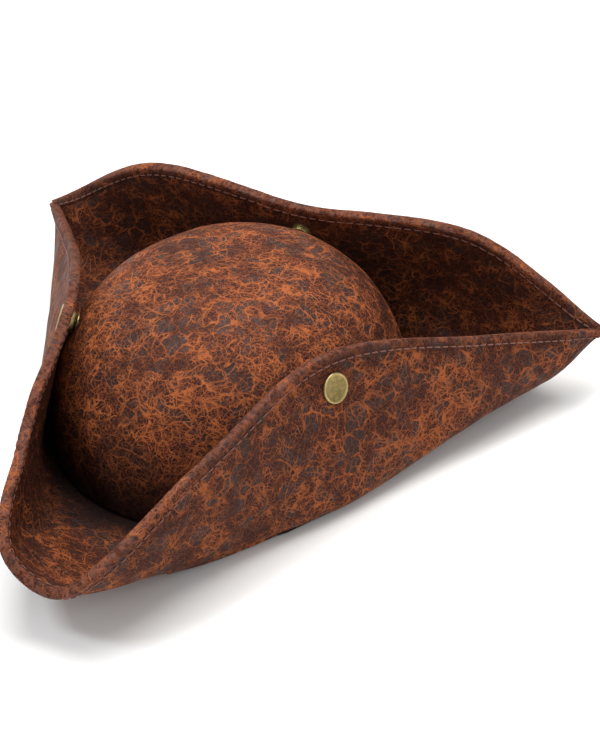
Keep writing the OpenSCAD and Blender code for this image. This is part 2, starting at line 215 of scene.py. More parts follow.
class Net:
    """Builds one material's nodes."""

    def __init__(self, name, **constants):
        self.mat = bpy.data.materials.new(name)
        self.mat.use_nodes = True
        self.tree = self.mat.node_tree
        self.tree.nodes.clear()
        out = self.tree.nodes.new("ShaderNodeOutputMaterial")
        self.shader = self.tree.nodes.new("ShaderNodeBsdfPrincipled")
        self.tree.links.new(self.shader.outputs[0], out.inputs[0])
        for key, value in constants.items():
            self.shader.inputs[key.replace("_", " ")].default_value = value

    def put(self, socket, value):
        if isinstance(value, Sock):
            self.tree.links.new(value.out, socket)
        elif value is not None:
            if socket.type == "RGBA" and len(value) == 3:
                value = (*value, 1.0)
            socket.default_value = value

    def add(self, kind, inputs=(), out=0, **settings):
        """Adds a node, sets its settings and inputs, and returns one output."""
        node = self.tree.nodes.new("ShaderNode" + kind)
        for key, value in settings.items():
            setattr(node, key, value)
        for key, value in dict(inputs).items():
            self.put(node.inputs[key], value)
        return Sock(self, node.outputs[out])

    def math(self, name, *values, clamp=False):
        return self.add("Math", enumerate(values), operation=name, use_clamp=clamp)

    def ramp(self, value, low, high):
        return self.add("MapRange", {0: value, 1: low, 2: high}, interpolation_type="SMOOTHSTEP")

    def place(self):
        return self.add("Attribute", out=1, attribute_name="grain")

    def fact(self, name):
        return self.add("Attribute", out=2, attribute_name=name)

    def scaled(self, v, s):
        return self.add(
            "VectorMath", {0: v, 1: (s, s, s) if isinstance(s, (int, float)) else s}, operation="MULTIPLY"
        )

    def plus(self, a, b):
        return self.add("VectorMath", {0: a, 1: b}, operation="ADD")

    def noise(self, v, scale, detail=3.0, rough=0.55, distortion=0.0, out=0):
        return self.add(
            "TexNoise",
            {"Vector": v, "Scale": scale, "Detail": detail, "Roughness": rough, "Distortion": distortion},
            out=out,
        )

    def cells(self, v, scale, feature="F1", out=0, random=1.0):
        return self.add(
            "TexVoronoi", {"Vector": v, "Scale": scale, "Randomness": random}, out=out, feature=feature
        )

    def warp(self, v, scale, amount):
        """The place v pushed about by noise."""
        push = self.add(
            "VectorMath", {0: self.noise(v, scale, 2.0, out=1), 1: (0.5, 0.5, 0.5)}, operation="SUBTRACT"
        )
        return self.plus(v, self.scaled(push, amount))

    def mix(self, f, a, b):
        return self.add("Mix", {0: f, 6: a, 7: b}, out=2, data_type="RGBA")

    def bump(self, height, strength, distance, under=None):
        return self.add(
            "Bump", {"Height": height, "Strength": strength, "Distance": distance, "Normal": under}
        )

    def set(self, **sockets):
        for key, value in sockets.items():
            self.put(self.shader.inputs[key.replace("_", " ")], value)
        return self.mat


def distressed(name, painted_light=0.0, wear=0.0, gloss=0.5):
    """Rubbed imitation leather: orange cracks over speckled brown, dark cells, glossy pebbles."""
    n = Net(name, IOR=1.45, Specular_IOR_Level=0.2)
    k = look()
    p = n.place()
    w = n.warp(n.warp(p, 70, 0.006), 330, 0.0022)
    far = n.plus(w, (0.31, 0.17, 0.23))
    broad = n.noise(p, 30, 2.0, 0.5)
    patch = n.noise(far, 110, 3.0, 0.6)
    # painted light and shade: a level set per part lightens the rubbed and dim tones of the lit crown and
    # darkens them on the brim's leathers and binding
    rub = n.ramp(broad * 0.4 + patch * 0.6 + painted_light * 0.08, 0.54, 0.70)
    dim = n.ramp(broad * 0.5 + patch * 0.5 + painted_light * 0.08, 0.36, 0.56)
    wide = n.warp(n.warp(p, 42, 0.018), 230, 0.0035)
    big = n.cells(wide, 125, "DISTANCE_TO_EDGE")
    cell = n.add("SeparateXYZ", {0: n.cells(wide, 125, "F1", 1)})
    fine = n.cells(w, 640, "DISTANCE_TO_EDGE")
    middle = n.cells(n.warp(w, 110, 0.006), 280, "DISTANCE_TO_EDGE")
    grit = n.noise(p, 1400, 2.0, 0.6)
    # creases: cells stretched two ways, so that long fine lines cross
    creases = []
    for turn, scale, push in (((0.4, 0.3, 0.9), 95, 0.05), ((1.1, -0.6, -0.5), 125, 0.31)):
        slant = n.add(
            "VectorRotate", {0: n.plus(wide, (push, push, 0.0)), 4: turn}, rotation_type="EULER_XYZ"
        )
        edge = n.cells(n.scaled(slant, (1.0, 0.34, 0.6)), scale * 2.2, "DISTANCE_TO_EDGE")
        creases.append((1.0 - n.ramp(edge / 0.034, 0.3, 1.5)) * n.ramp(n.noise(slant, 60, 2.0), 0.46, 0.62))
    coal = n.ramp(cell, 0.36, 0.72) * n.ramp(big, 0.01, 0.14) * n.ramp(patch, 0.34, 0.50) * (1.0 - rub * 0.6)
    vein = (1.0 - n.ramp(middle / 0.042, 0.3, 1.4)) * (0.25 + dim * 0.55)
    rift = (1.0 - n.ramp(big / 0.04, 0.3, 1.5)) * n.ramp(patch, 0.40, 0.55)
    line = creases[0].op("MAXIMUM", creases[1]).op("MAXIMUM", vein).op("MAXIMUM", rift * 0.8)
    line = (line * (grit * 0.9 + 0.55)).clamp()
    dots = n.ramp(fine + grit * 0.08, 0.07, 0.15) * (1.0 - rub * 0.45)
    fleck = n.ramp(n.noise(w, 420, 2.0, 0.6), 0.44, 0.60)
    brown = n.mix(
        (dim * 0.55 + rub * 0.35 + fleck * 0.25).clamp(), tuple(c * 0.30 for c in k.rust),
        (k.rust[0] * 0.98, k.rust[1] * 1.02, k.rust[2] * 1.0),
    )
    base = n.mix(dots * 0.95, brown, k.bark)
    base = n.mix(coal * 0.86, base, k.char)
    base = n.mix(
        line * (1.0 - coal * 0.3) * (0.35 + dim * 0.6), base,
        (k.rust[0] * 1.6, k.rust[1] * 1.95, k.rust[2] * 1.8),
    )
    rubbed = n.fact("rim") * n.ramp(n.noise(p, 380, 3.0, 0.7), 0.40, 0.60)
    base = n.mix(rubbed * wear, base, (0.20, 0.072, 0.045))
    # painted shade: the leather is darkened towards a third of bark deep in the fold beside the crown, where
    # light hardly reaches
    base = n.mix((n.fact("hollow_shade") * 1.7).clamp() * 0.94, base, tuple(c * 0.3 for c in k.bark))
    pebble = n.cells(n.warp(p, 500, 0.0006), 620, "SMOOTH_F1")
    low = n.bump(n.noise(p, 60, 3.0, 0.5), 0.22, 0.004)
    height = line * 0.35 - dots * 0.3 - pebble * (0.3 + coal * 0.8) + grit * 0.15
    cloud = (n.noise(p, 40, 2.0) - 0.5) * 0.2
    rough = 0.74 - coal * (0.10 + 0.24 * gloss) + line * 0.06 + cloud - gloss * 0.08
    return n.set(Base_Color=base, Roughness=rough.clamp(), Normal=n.bump(height, 0.7, 0.0005, low))


def aged_brass(name, bright=1.0):
    """Antique brass, brushed and dulled, brighter where it is rubbed."""
    n = Net(name)
    k = look()
    p = n.place()
    cloud = n.noise(p, 420, 4.0, 0.65)
    hair = n.noise(n.scaled(p, (1.0, 1.0, 9.0)), 1600, 2.0, 0.5)
    rub = n.fact("rim")
    tone = n.mix(
        (cloud.steps(0.32, 0.7) * 0.7 + rub * 0.6).clamp(), tuple(c * 0.55 * bright for c in k.brass),
        tuple(min(1.0, c * 1.15 * bright) for c in k.brass),
    )
    tone = n.mix(rub * 0.4, tone, (0.55, 0.45, 0.22))
    return n.set(Base_Color=tone, Metallic=0.92, Roughness=(0.46 + (cloud - 0.5) * 0.35 - rub * 0.14).clamp(),
                 Normal=n.bump(hair * 0.5 + cloud * 0.5, 0.12, 0.0002))


def woven(name, colour, scale, sheen=0.2):
    """Plain woven cloth."""
    n = Net(name, Sheen_Weight=sheen)
    p = n.add("UVMap", uv_map="flat")
    xyz = n.add("SeparateXYZ", {0: p})
    u, v = (Sock(n, xyz.out.node.outputs[i]) * (6.2832 * scale) for i in (0, 1))
    over = u.op("SINE") * v.op("SINE")
    warp = abs((u * 0.5).op("SINE")) * over.steps(-0.4, 0.4)
    weft = abs((v * 0.5).op("SINE")) * (1.0 - over.steps(-0.4, 0.4))
    thread = warp + weft
    fuzz = n.noise(n.place(), 900, 3.0, 0.6)
    base = n.mix(
        (thread * 0.6 + fuzz * 0.4).clamp(), tuple(c * 0.45 for c in colour),
        tuple(min(1.0, c * 1.5) for c in colour),
    )
    return n.set(
        Base_Color=base, Roughness=(0.8 + fuzz * 0.15).clamp(),
        Normal=n.bump(thread + fuzz * 0.3, 0.6, 0.00025),
    )


def smooth_hide(name, colour):
    """Smooth dark hide with fine pores, as on a sweatband."""
    n = Net(name)
    p = n.place()
    pore = n.cells(n.warp(p, 600, 0.0008), 1100, "DISTANCE_TO_EDGE")
    cloud = n.noise(p, 60, 3.0)
    base = n.mix(cloud.steps(0.3, 0.7), tuple(c * 0.7 for c in colour), tuple(c * 1.5 for c in colour))
    return n.set(
        Base_Color=base, Roughness=(0.42 + cloud * 0.2).clamp(),
        Normal=n.bump(pore.steps(0.0, 0.3), 0.35, 0.0002),
    )


def twisted(name, colour):
    """Sewing thread with its twist."""
    n = Net(name, Sheen_Weight=0.15)
    turn = n.fact("turn")
    ply = abs((turn * 6.2832).op("SINE"))
    fuzz = n.noise(n.place(), 2500, 2.0, 0.6)
    base = n.mix(
        (ply * 0.7 + fuzz * 0.3).clamp(), tuple(c * 0.45 for c in colour),
        tuple(min(1.0, c * 1.25) for c in colour),
    )
    return n.set(Base_Color=base, Roughness=(0.62 + fuzz * 0.2).clamp(), Normal=n.bump(ply, 0.4, 0.0001))


# ---------------------------------------------------------------- the brim's surface


def unit(v):
    return v / np.maximum(np.linalg.norm(v, axis=-1, keepdims=True), 1e-12)


def mirrored(p):
    return np.asarray(p, float) * (-1.0, 1.0, 1.0)


class Brim:
    """The brim's middle surface, from the same stations as the hard parts, in millimetres."""

    def __init__(self, s):
        self.s = s
        up = np.array([0.0, 0.0, 1.0])
        lift = up * s.brim_rise
        slope = math.radians(s.fold_slope)

        def head(a):
            c, d = math.cos(math.radians(a)), math.sin(math.radians(a))
            p = np.array([(s.crown_half_w - 1.9) * c, (s.crown_half_l - 1.9) * d, s.brim_rise])
            return p, unit(np.array([c / s.crown_half_w, d / s.crown_half_l, 0.0]))

        def on_flap(a, reach, w, depth, pull_in, pull_out, ctl, edge, t, o, fold):
            p, n = head(a)
            m = o * math.sin(slope) + up * math.cos(slope)
            f = o * fold + up * s.fold_h + t * w + (up * math.sin(slope) - o * math.cos(slope)) * depth
            rise = lift + t * w
            return [a, p + n * reach, f - m * pull_in, f, f + m * pull_out,
                    o * ctl[0] + up * ctl[1] + rise, o * edge[0] + up * edge[1] + rise]

        def on_tip(a, reach, mid, way, ctl, edge):
            p, n = head(a)
            mid, way, ctl, edge = (np.array(v, float) for v in (mid, way, ctl, edge))
            return [a, p + n * reach, mid + lift - way, mid + lift, mid + lift + way, ctl + lift, edge + lift]

        def flip(st, by=0.0):
            return [180.0 - st[0] + by] + [mirrored(v) for v in st[1:]]

        yaw = math.radians(s.side_yaw)
        self.along = {"left": np.array([math.sin(yaw), math.cos(yaw), 0.0])}
        self.out = {"left": np.array([math.cos(yaw), -math.sin(yaw), 0.0])}
        self.along["right"], self.out["right"] = mirrored(self.along["left"]), mirrored(self.out["left"])
        self.along["back"], self.out["back"] = np.array([1.0, 0, 0]), np.array([0, 1.0, 0])
        self.fold = {"left": s.side_fold, "right": s.side_fold, "back": s.back_fold}
        side = (self.along["left"], self.out["left"], s.side_fold)
        back = (self.along["back"], self.out["back"], s.back_fold)
        front_tip = on_tip(-90, 19, [0, -141, 2], [0, -13, 6], [0, -172, 16], [0, -186, 23.5])
        front_bend = on_tip(-68, 15, [30, -137, 10], [5, -13, 9], [25, -174, 27], [24, -179.5, 41])
        side_front = on_flap(-46, 11, -92, 14, 9, 12, [101.5, 45], [96.5, 60.5], *side)
        side_mid = on_flap(-16, 4.5, 0, 9.5, 6.5, 9, [82, 52.5], [76, 75.2], *side)
        side_back = on_flap(22, 10, 94, 19, 8, 9, [91.5, 31], [80, 50], *side)
        back_tip = on_tip(40, 18, [132, 79.5, 7], [17, 8, 5], [150, 95, 27], [161.5, 107, 30.5])
        back_side = on_flap(62, 10, 90, 12, 7, 12, [108, 46], [95, 76], *back)
        back_mid = on_flap(90, 6, 0, 9, 6, 9, [90, 50], [85, 76.5], *back)
        loops = {
            "side": [flip(v, -360.0) for v in (back_tip, side_back, side_mid, side_front, front_bend)]
            + [front_tip, front_bend, side_front, side_mid, side_back, back_tip],
            "back": [back_tip, back_side, back_mid, flip(back_side), flip(back_tip)],
        }
        self.rows = {
            key: [np.array([v[k] for v in st], float).reshape(len(st), -1) for k in range(7)]
            for key, st in loops.items()
        }

    def through(self, rows, q):
        """A smooth curve through the stations' values, at places q."""
        i = np.clip(np.floor(q).astype(int), 0, len(rows) - 2)
        t = (q - i)[:, None]
        e = np.vstack([2 * rows[0] - rows[1], rows, 2 * rows[-1] - rows[-2]])
        a, b, c, d = e[i], e[i + 1], e[i + 2], e[i + 3]
        return 0.5 * (
            2 * b + (c - a) * t + (2 * a - 5 * b + 4 * c - d) * t**2 + (3 * b - a - 3 * c + d) * t**3
        )

    def controls(self, loop, q):
        rows = self.rows[loop]
        s = self.s
        a = np.radians(self.through(rows[0], q))
        head = np.hstack(
            [(s.crown_half_w - 1.9) * np.cos(a), (s.crown_half_l - 1.9) * np.sin(a), 0 * a + s.brim_rise]
        )
        return [head] + [self.through(r, q) for r in rows[1:]]

    def points(self, loop, q, v):
        """Points for places q along the loop and v across: 0 the head, 1 the fold, 2 the edge.

        v has a row for each q, or is shared.
        """
        q = np.atleast_1d(np.asarray(q, float))
        v = np.broadcast_to(np.asarray(v, float), (len(q), np.shape(v)[-1]))
        c = [x[:, None, :] for x in self.controls(loop, q)]
        inner = v <= 1
        t = np.where(inner, v, v - 1)[..., None]
        pick = inner[..., None]
        a, b, d, e = (np.where(pick, c[k], c[k + 3]) for k in range(4))
        return (1 - t) ** 3 * a + 3 * (1 - t) ** 2 * t * b + 3 * (1 - t) * t * t * d + t**3 * e

    def frames(self, loop, q, v):
        """Points, upward normals and outward directions."""
        q = np.atleast_1d(np.asarray(q, float))
        v = np.broadcast_to(np.asarray(v, float), (len(q), np.shape(v)[-1]))
        end = len(self.rows[loop][0]) - 1
        h, g = 0.01, 0.004
        p = self.points(loop, q, v)
        du = self.points(loop, np.minimum(q + h, end), v) - self.points(loop, np.maximum(q - h, 0), v)
        hi, lo = np.minimum(v + g, 2.0), np.maximum(v - g, 0.0)
        dv = self.points(loop, q, hi) - self.points(loop, q, lo)
        n = unit(np.cross(dv, du))
        other = "back" if loop == "side" else "side"
        for i, place in enumerate(q):
            if place < 1e-6 or place > end - 1e-6:
                far = len(self.rows[other][0]) - 1
                near = far if place < 1e-6 else 0
                step = -h if near else h
                a = self.points(other, [near], v[i : i + 1])
                b = self.points(other, [near + step], v[i : i + 1])
                turn = (b - a) * (1 if step > 0 else -1)
                n[i] = unit(n[i] + unit(np.cross(dv[i : i + 1], turn))[0])
        return p, n, unit(dv)

    def inset(self, loop, q, d):
        """The v that lies d millimetres in from the edge, for each q and each d."""
        grid = np.linspace(1.0, 2.0, 81)
        p = self.points(loop, q, grid)
        run = np.linalg.norm(np.diff(p, axis=1), axis=-1)
        back = np.hstack([np.cumsum(run[:, ::-1], axis=1)[:, ::-1], np.zeros((len(p), 1))])
        return np.array([np.interp(-np.asarray(d, float), -row, grid) for row in back])


# Half of a flap: its name, the body that swings, the loop, and its first and last station
HALVES = [
    ("right_back", "right_flap", "side", 0, 2),
    ("right_front", "right_flap", "side", 2, 5),
    ("left_front", "left_flap", "side", 5, 8),
    ("left_back", "left_flap", "side", 8, 10),
    ("back_left", "back_flap", "back", 0, 2),
    ("back_right", "back_flap", "back", 2, 4),
]
STUDS = {"left": ("side", 8), "right": ("side", 2), "back": ("back", 2)}


def stud_place(brim, side):
    """Where a press stud goes through a flap, and the way its cap faces."""
    loop, q = STUDS[side]
    v = brim.inset(loop, [float(q)], [brim.s.stud_inset])[0]
    p, n, _ = brim.frames(loop, [float(q)], v)
    return p[0, 0], -n[0, 0]


def ripple(brim, p, v):
    """How far the soft brim strays from its plain form, in millimetres, square to itself."""
    free = np.clip(v / 0.8, 0, 1) ** 2
    flat = p.reshape(-1, 3)
    wave = np.array(
        [
            noise.noise(Vector(x) / 46.0) * 1.5 + noise.noise(Vector(x) / 19.0 + Vector((7, 3, 1))) * 0.45
            for x in flat
        ]
    )
    out = wave.reshape(p.shape[:2]) * free
    for side in STUDS:
        c, _ = stud_place(brim, side)
        d = np.linalg.norm(p - c, axis=-1)
        out = out * np.clip((d - 6) / 24, 0, 1)
    return out


def hollow_shade(p):
    """Painted shade: how much to darken the leather where light hardly reaches, deep in the fold beside the
    crown.
    """
    r = np.hypot(p[..., 0] / 88.0, p[..., 1] / 101.0)
    return np.clip(1.25 - r, 0, 0.35) / 0.35 * np.clip(1 - (p[..., 2] - 6) / 40, 0, 1)


# ---------------------------------------------------------------- meshes


def make(name, verts, faces, facts=None, uvs=None, smooth=True):
    """A mesh object from points in millimetres, with its rest place and any facts kept on its points."""
    mesh = bpy.data.meshes.new(name)
    verts = np.asarray(verts, float) * MM
    mesh.from_pydata(verts.tolist(), [], [list(map(int, f)) for f in faces])
    mesh.update()
    grain = mesh.attributes.new("grain", "FLOAT_VECTOR", "POINT")
    grain.data.foreach_set("vector", verts.astype(np.float32).ravel())
    for key, values in (facts or {}).items():
        layer = mesh.attributes.new(key, "FLOAT", "POINT")
        layer.data.foreach_set("value", np.asarray(values, np.float32).ravel())
    if uvs is not None:
        layer = mesh.uv_layers.new(name="flat")
        loops = np.empty(len(mesh.loops), int)
        mesh.loops.foreach_get("vertex_index", loops)
        layer.data.foreach_set("uv", np.asarray(uvs, np.float32).reshape(-1, 2)[loops].ravel())
    ob = bpy.data.objects.new(name, mesh)
    bpy.context.collection.objects.link(ob)
    if smooth:
        mesh.shade_smooth()
    return ob


def paint(ob, material, slot=None):
    ob.data.materials.clear()
    ob.data.materials.append(material)
    return ob


def slab(high, low):
    """Points and faces of a closed sheet between two grids (columns, rows, 3) with crisp borders."""
    nu, nv = high.shape[:2]
    verts = np.concatenate([high.reshape(-1, 3), low.reshape(-1, 3)])
    idx = np.arange(nu * nv).reshape(nu, nv)
    a, b, c, d = idx[:-1, :-1], idx[1:, :-1], idx[1:, 1:], idx[:-1, 1:]
    top = np.stack([a, d, c, b], -1).reshape(-1, 4)
    under = np.stack([a, b, c, d], -1).reshape(-1, 4) + nu * nv
    ring = np.concatenate([idx[:, 0], idx[-1, 1:], idx[-2::-1, -1], idx[0, -2:0:-1]])
    nxt = np.roll(ring, -1)
    walls = np.stack([ring, nxt, nxt + nu * nv, ring + nu * nv], -1)
    return verts, np.concatenate([top, under, walls])


def crisp(ob, angle=0.9):
    """Marks the border of a sheet as a sharp edge."""
    bpy.ops.object.select_all(action="DESELECT")
    bpy.context.view_layer.objects.active = ob
    ob.select_set(True)
    bpy.ops.object.shade_smooth_by_angle(angle=angle)
    return ob


def bend(brim, ob, half, body):
    """Works out the line one half of a flap would bend about, from the crown to the flap, but does not use
    it; bakes the piece's place into its mesh.
    """
    side = body.split("_")[0]
    o, t = brim.out[side], brim.along[side]
    loop, first, last = next((h[2], h[3], h[4]) for h in HALVES if h[0] == half)
    mid = STUDS[side][1]
    tip = first if mid == last else last
    way = np.sign((brim.points(loop, [float(tip)], [2.0])[0, 0]) @ t)
    d = unit(np.array([0.0, 0, 0.94]) - t * way * 0.34)
    base = o * brim.fold[side]
    start, end = base + d * 14, base + d * 60
    tuple(start * MM)
    tuple(end * MM)
    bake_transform(ob)


def columns(half, s):
    first, last = half[3], half[4]
    return np.linspace(first, last, (last - first) * s.detail + 1)


def build_plies(brim, s):
    """The brim's two leathers and the felt between them, in half flaps that meet edge to edge."""
    half_felt, half_brim = s.felt_t / 2, s.felt_t / 2 + s.leather_t
    plies = [
        ("upper_leather", half_brim, half_felt), ("felt", half_felt, -half_felt),
        ("under_leather", -half_felt, -half_brim),
    ]
    made = {key: [] for key, _, _ in plies}
    for half in HALVES:
        name, _, loop = half[:3]
        q = columns(half, s)
        v = np.concatenate([np.linspace(0, 1, 15), 1 + np.linspace(0, 1, 27)[1:]])
        p, n, _ = brim.frames(loop, q, v)
        vv = np.broadcast_to(v, p.shape[:2])
        p = p + n * ripple(brim, p, vv)[..., None]
        # painted shade weights; only the high face of each ply gets them
        dark = hollow_shade(p)
        rim = np.clip((vv - 1.90) / 0.08, 0, 1)
        for key, high, low in plies:
            verts, faces = slab(p + n * high, p + n * low)
            shade = np.concatenate([dark.ravel(), dark.ravel() * 0])
            uv = np.stack([np.broadcast_to(q[:, None] * 0.085, vv.shape), vv * 0.05], -1).reshape(-1, 2)
            ob = make(
                f"{name}_{key}", verts, faces, {"hollow_shade": shade, "rim": np.tile(rim.ravel(), 2)},
                np.vstack([uv, uv]),
            )
            crisp(ob)
            made[key].append((ob, half))
    return made


class HAT_OT_brim(bpy.types.Operator):
    """Builds the brim: two leathers with felt between them."""

    bl_idname = "hat.brim"
    bl_label = "Brim"

    def execute(self, context):
        s = shape()
        brim = Brim(s)
        # painted shade: both brim leathers are painted darker, the upper leather most
        mats = {
            "upper_leather": (distressed("upper_leather", painted_light=-0.9, gloss=0.7), "upper_leather"),
            "under_leather": (distressed("under_leather", painted_light=-0.35, gloss=0.35), "under_leather"),
            "felt": (woven("pressed_felt", (0.05, 0.045, 0.04), 900), "felt"),
        }
        for key, pieces in build_plies(brim, s).items():
            for ob, half in pieces:
                paint(ob, *mats[key])
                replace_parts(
                    ob,
                    {
                        "upper_leather": "brim_upper_leather", "under_leather": "brim_under_leather",
                        "felt": "brim_felt",
                    }[key],
                    f"{half[1]}_{key}",
                )
                bend(brim, ob, half[0], half[1])
        return {"FINISHED"}


def binding_rings(brim, half, step):
    """Places of even rings along the edge, as station numbers and as lengths in millimetres."""
    loop, first, last = half[2:]
    fine = np.linspace(first, last, (last - first) * 200 + 1)
    edge = brim.points(loop, fine, [2.0])[:, 0]
    run = np.concatenate([[0], np.cumsum(np.linalg.norm(np.diff(edge, axis=0), axis=1))])
    count = max(8, int(round(run[-1] / step)))
    along = np.linspace(0, run[-1], count + 1)
    q = np.interp(along, run, fine)
    return q, along


def build_binding(brim, s, half):
    """The strip folded round the edge of one half, puckered where it is sewn."""
    name, _, loop = half[:3]
    q, along = binding_rings(brim, half, 1.0)
    h = s.felt_t / 2 + s.leather_t
    legs = np.array([5.3, 5.25, 5.0, 4.4, 3.6, 2.6, 1.5, 0.6])
    lift = np.array([0.02, 0.5, 0.74, 0.56, 0.70, 0.80, 0.88, 0.9])
    v = brim.inset(loop, q, legs)
    p, n, _ = brim.frames(loop, q, v)
    p = p + n * ripple(brim, p, v)[..., None]
    e, m, w = brim.frames(loop, q, [2.0])
    e = e + m * ripple(brim, e, np.full(e.shape[:2], 2.0))[..., None]
    e, m, w = e[:, 0], m[:, 0], w[:, 0]
    pucker = 0.5 + 0.5 * np.cos(along / s.stitch * 2 * math.pi)
    soft = np.array([noise.noise(Vector(x) / 5.0) for x in e])
    rows, rim = [], []
    dips = np.array([0, 0.10, 0.26, 0.36, 0.2, 0.1, 0.03, 0])
    for k in range(len(legs)):
        d = h + lift[k] - dips[k] * pucker + soft * 0.10 * (k > 0)
        rows.append(p[:, k] + n[:, k] * d[:, None])
        rim.append(np.full(len(q), [0, 0, 0.05, 0.0, 0.05, 0.15, 0.4, 0.75][k]))
    for a in np.linspace(72, -72, 7):
        c, t = math.cos(math.radians(a)), math.sin(math.radians(a))
        bulge = 1.0 + 0.06 * soft
        rows.append(e + w * (1.1 * c * bulge)[:, None] + m * ((h + 0.88) * t * bulge)[:, None])
        rim.append(np.full(len(q), 0.75 + 0.25 * c))
    for k in range(len(legs) - 1, -1, -1):
        d = h + lift[k] - dips[k] * pucker + soft * 0.10 * (k > 0)
        rows.append(p[:, k] - n[:, k] * d[:, None])
        rim.append(np.full(len(q), [0, 0, 0.05, 0.0, 0.05, 0.15, 0.4, 0.75][k]))
    rows.append(e - m * h + w * 0.05)
    rim.append(np.zeros(len(q)))
    rows.append(e + m * h + w * 0.05)
    rim.append(np.zeros(len(q)))
    grid = np.stack(rows, 1)
    nu, nv = grid.shape[:2]
    idx = np.arange(nu * nv).reshape(nu, nv)
    nxt = np.roll(idx, -1, axis=1)
    sides = np.stack([idx[:-1], nxt[:-1], nxt[1:], idx[1:]], -1).reshape(-1, 4)
    caps = [list(idx[0][::-1]), list(idx[-1])]
    uv = np.stack(
        [np.broadcast_to(along[:, None] * MM, (nu, nv)), np.broadcast_to(np.arange(nv) * 0.001, (nu, nv))], -1
    )
    ob = make(
        f"{name}_binding", grid.reshape(-1, 3), [*sides, *caps],
        {"rim": np.stack(rim, 1), "hollow_shade": np.zeros(nu * nv)}, uv,
    )
    return crisp(ob, 1.1)


class HAT_OT_binding(bpy.types.Operator):
    """Folds the leather binding round the brim's edge."""

    bl_idname = "hat.binding"
    bl_label = "Binding"

    def execute(self, context):
        s = shape()
        brim = Brim(s)
        # painted shade: the binding leather is painted darker
        mat = distressed("binding_leather", painted_light=-0.8, wear=0.6, gloss=0.4)
        tips = {
            "right_back": "right", "right_front": "front", "left_front": "front", "left_back": "left",
            "back_left": "left", "back_right": "right",
        }
        for half in HALVES:
            ob = paint(build_binding(brim, s, half), mat, "binding_leather")
            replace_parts(ob, f"{tips[half[0]]}_tip_binding", f"{half[1]}_binding")
            bend(brim, ob, half[0], half[1])
        return {"FINISHED"}


def build_stitches(brim, s, half):
    """Both rows of stitches, one on each face, each stitch a short thread that dives in at its ends."""
    name, _, loop, first = half[:4]
    q, along = binding_rings(brim, half, 0.5)
    h = s.felt_t / 2 + s.leather_t
    count = int(round(along[-1] / s.stitch))
    pitch = along[-1] / count
    seam = 4.15
    verts, faces, turn = [], [], []
    for face in (1.0, -1.0):
        for k in range(count):
            mid = (k + 0.5) * pitch
            jig = noise.noise(Vector((mid, face * 9.0, first * 13.0)))
            span = pitch * (0.40 + 0.03 * jig)
            t = np.linspace(-1, 1, 7)
            place = np.clip(mid + t * span, 0, along[-1])
            qq = np.interp(place, along, q)
            drift = seam + 0.16 * jig + 0.10 * t * noise.noise(Vector((mid, 3.0, face)))
            v = np.array([brim.inset(loop, [qv], [dv])[0, 0] for qv, dv in zip(qq, drift)])[:, None]
            p, n, _ = brim.frames(loop, qq, v)
            p = p + n * ripple(brim, p, v)[..., None]
            p, n = p[:, 0], n[:, 0] * face
            arc = h + 0.54 + 0.34 * (1 - t**4) - 0.85 * np.clip(np.abs(t) - 0.75, 0, 1) * 4 * 0.6
            path = p + n * arc[:, None]
            way = unit(np.gradient(path, axis=0))
            side = unit(np.cross(way, n))
            top = np.cross(side, way)
            base = len(verts)
            for i in range(len(path)):
                r = 0.36 * (1 - 0.35 * abs(t[i]) ** 3)
                for a in range(6):
                    c, d = math.cos(a * math.pi / 3), math.sin(a * math.pi / 3)
                    verts.append(path[i] + side[i] * c * r + top[i] * d * r * 0.85)
                    turn.append(place[i] / 0.9 + a / 6.0)
            m = len(path)
            for i in range(m - 1):
                for a in range(6):
                    b = (a + 1) % 6
                    faces.append(
                        [base + i * 6 + a, base + i * 6 + b, base + (i + 1) * 6 + b, base + (i + 1) * 6 + a]
                    )
            faces.append([base + a for a in range(5, -1, -1)])
            faces.append([base + (m - 1) * 6 + a for a in range(6)])
    ob = make(f"{name}_stitching", verts, faces, {"turn": turn})
    return ob


class HAT_OT_stitching(bpy.types.Operator):
    """Sews the binding down with a row of stitches on each face."""

    bl_idname = "hat.stitching"
    bl_label = "Stitching"

    def execute(self, context):
        s = shape()
        brim = Brim(s)
        mat = twisted("thread", (0.19, 0.066, 0.045))
        for half in HALVES:
            ob = paint(build_stitches(brim, s, half), mat, "binding_leather")
            bend(brim, ob, half[0], half[1])
        return {"FINISHED"}


# ---------------------------------------------------------------- the crown


def crown_grid(s, inset, turns, climbs):
    """Points of a crown surface set in by inset, for turns and climbs in radians."""
    foot = s.brim_rise + s.felt_t / 2 + s.leather_t + 0.08
    r = np.maximum(np.cos(climbs), 0) ** (2 / s.crown_side)
    z = np.sin(climbs) ** (2 / s.crown_dome)
    x = (s.crown_half_w - inset) * r[None, :] * np.cos(turns)[:, None]
    y = (s.crown_half_l - inset) * r[None, :] * np.sin(turns)[:, None]
    return np.stack([x, y, np.broadcast_to(foot + (s.crown_h - inset) * z, x.shape)], -1)


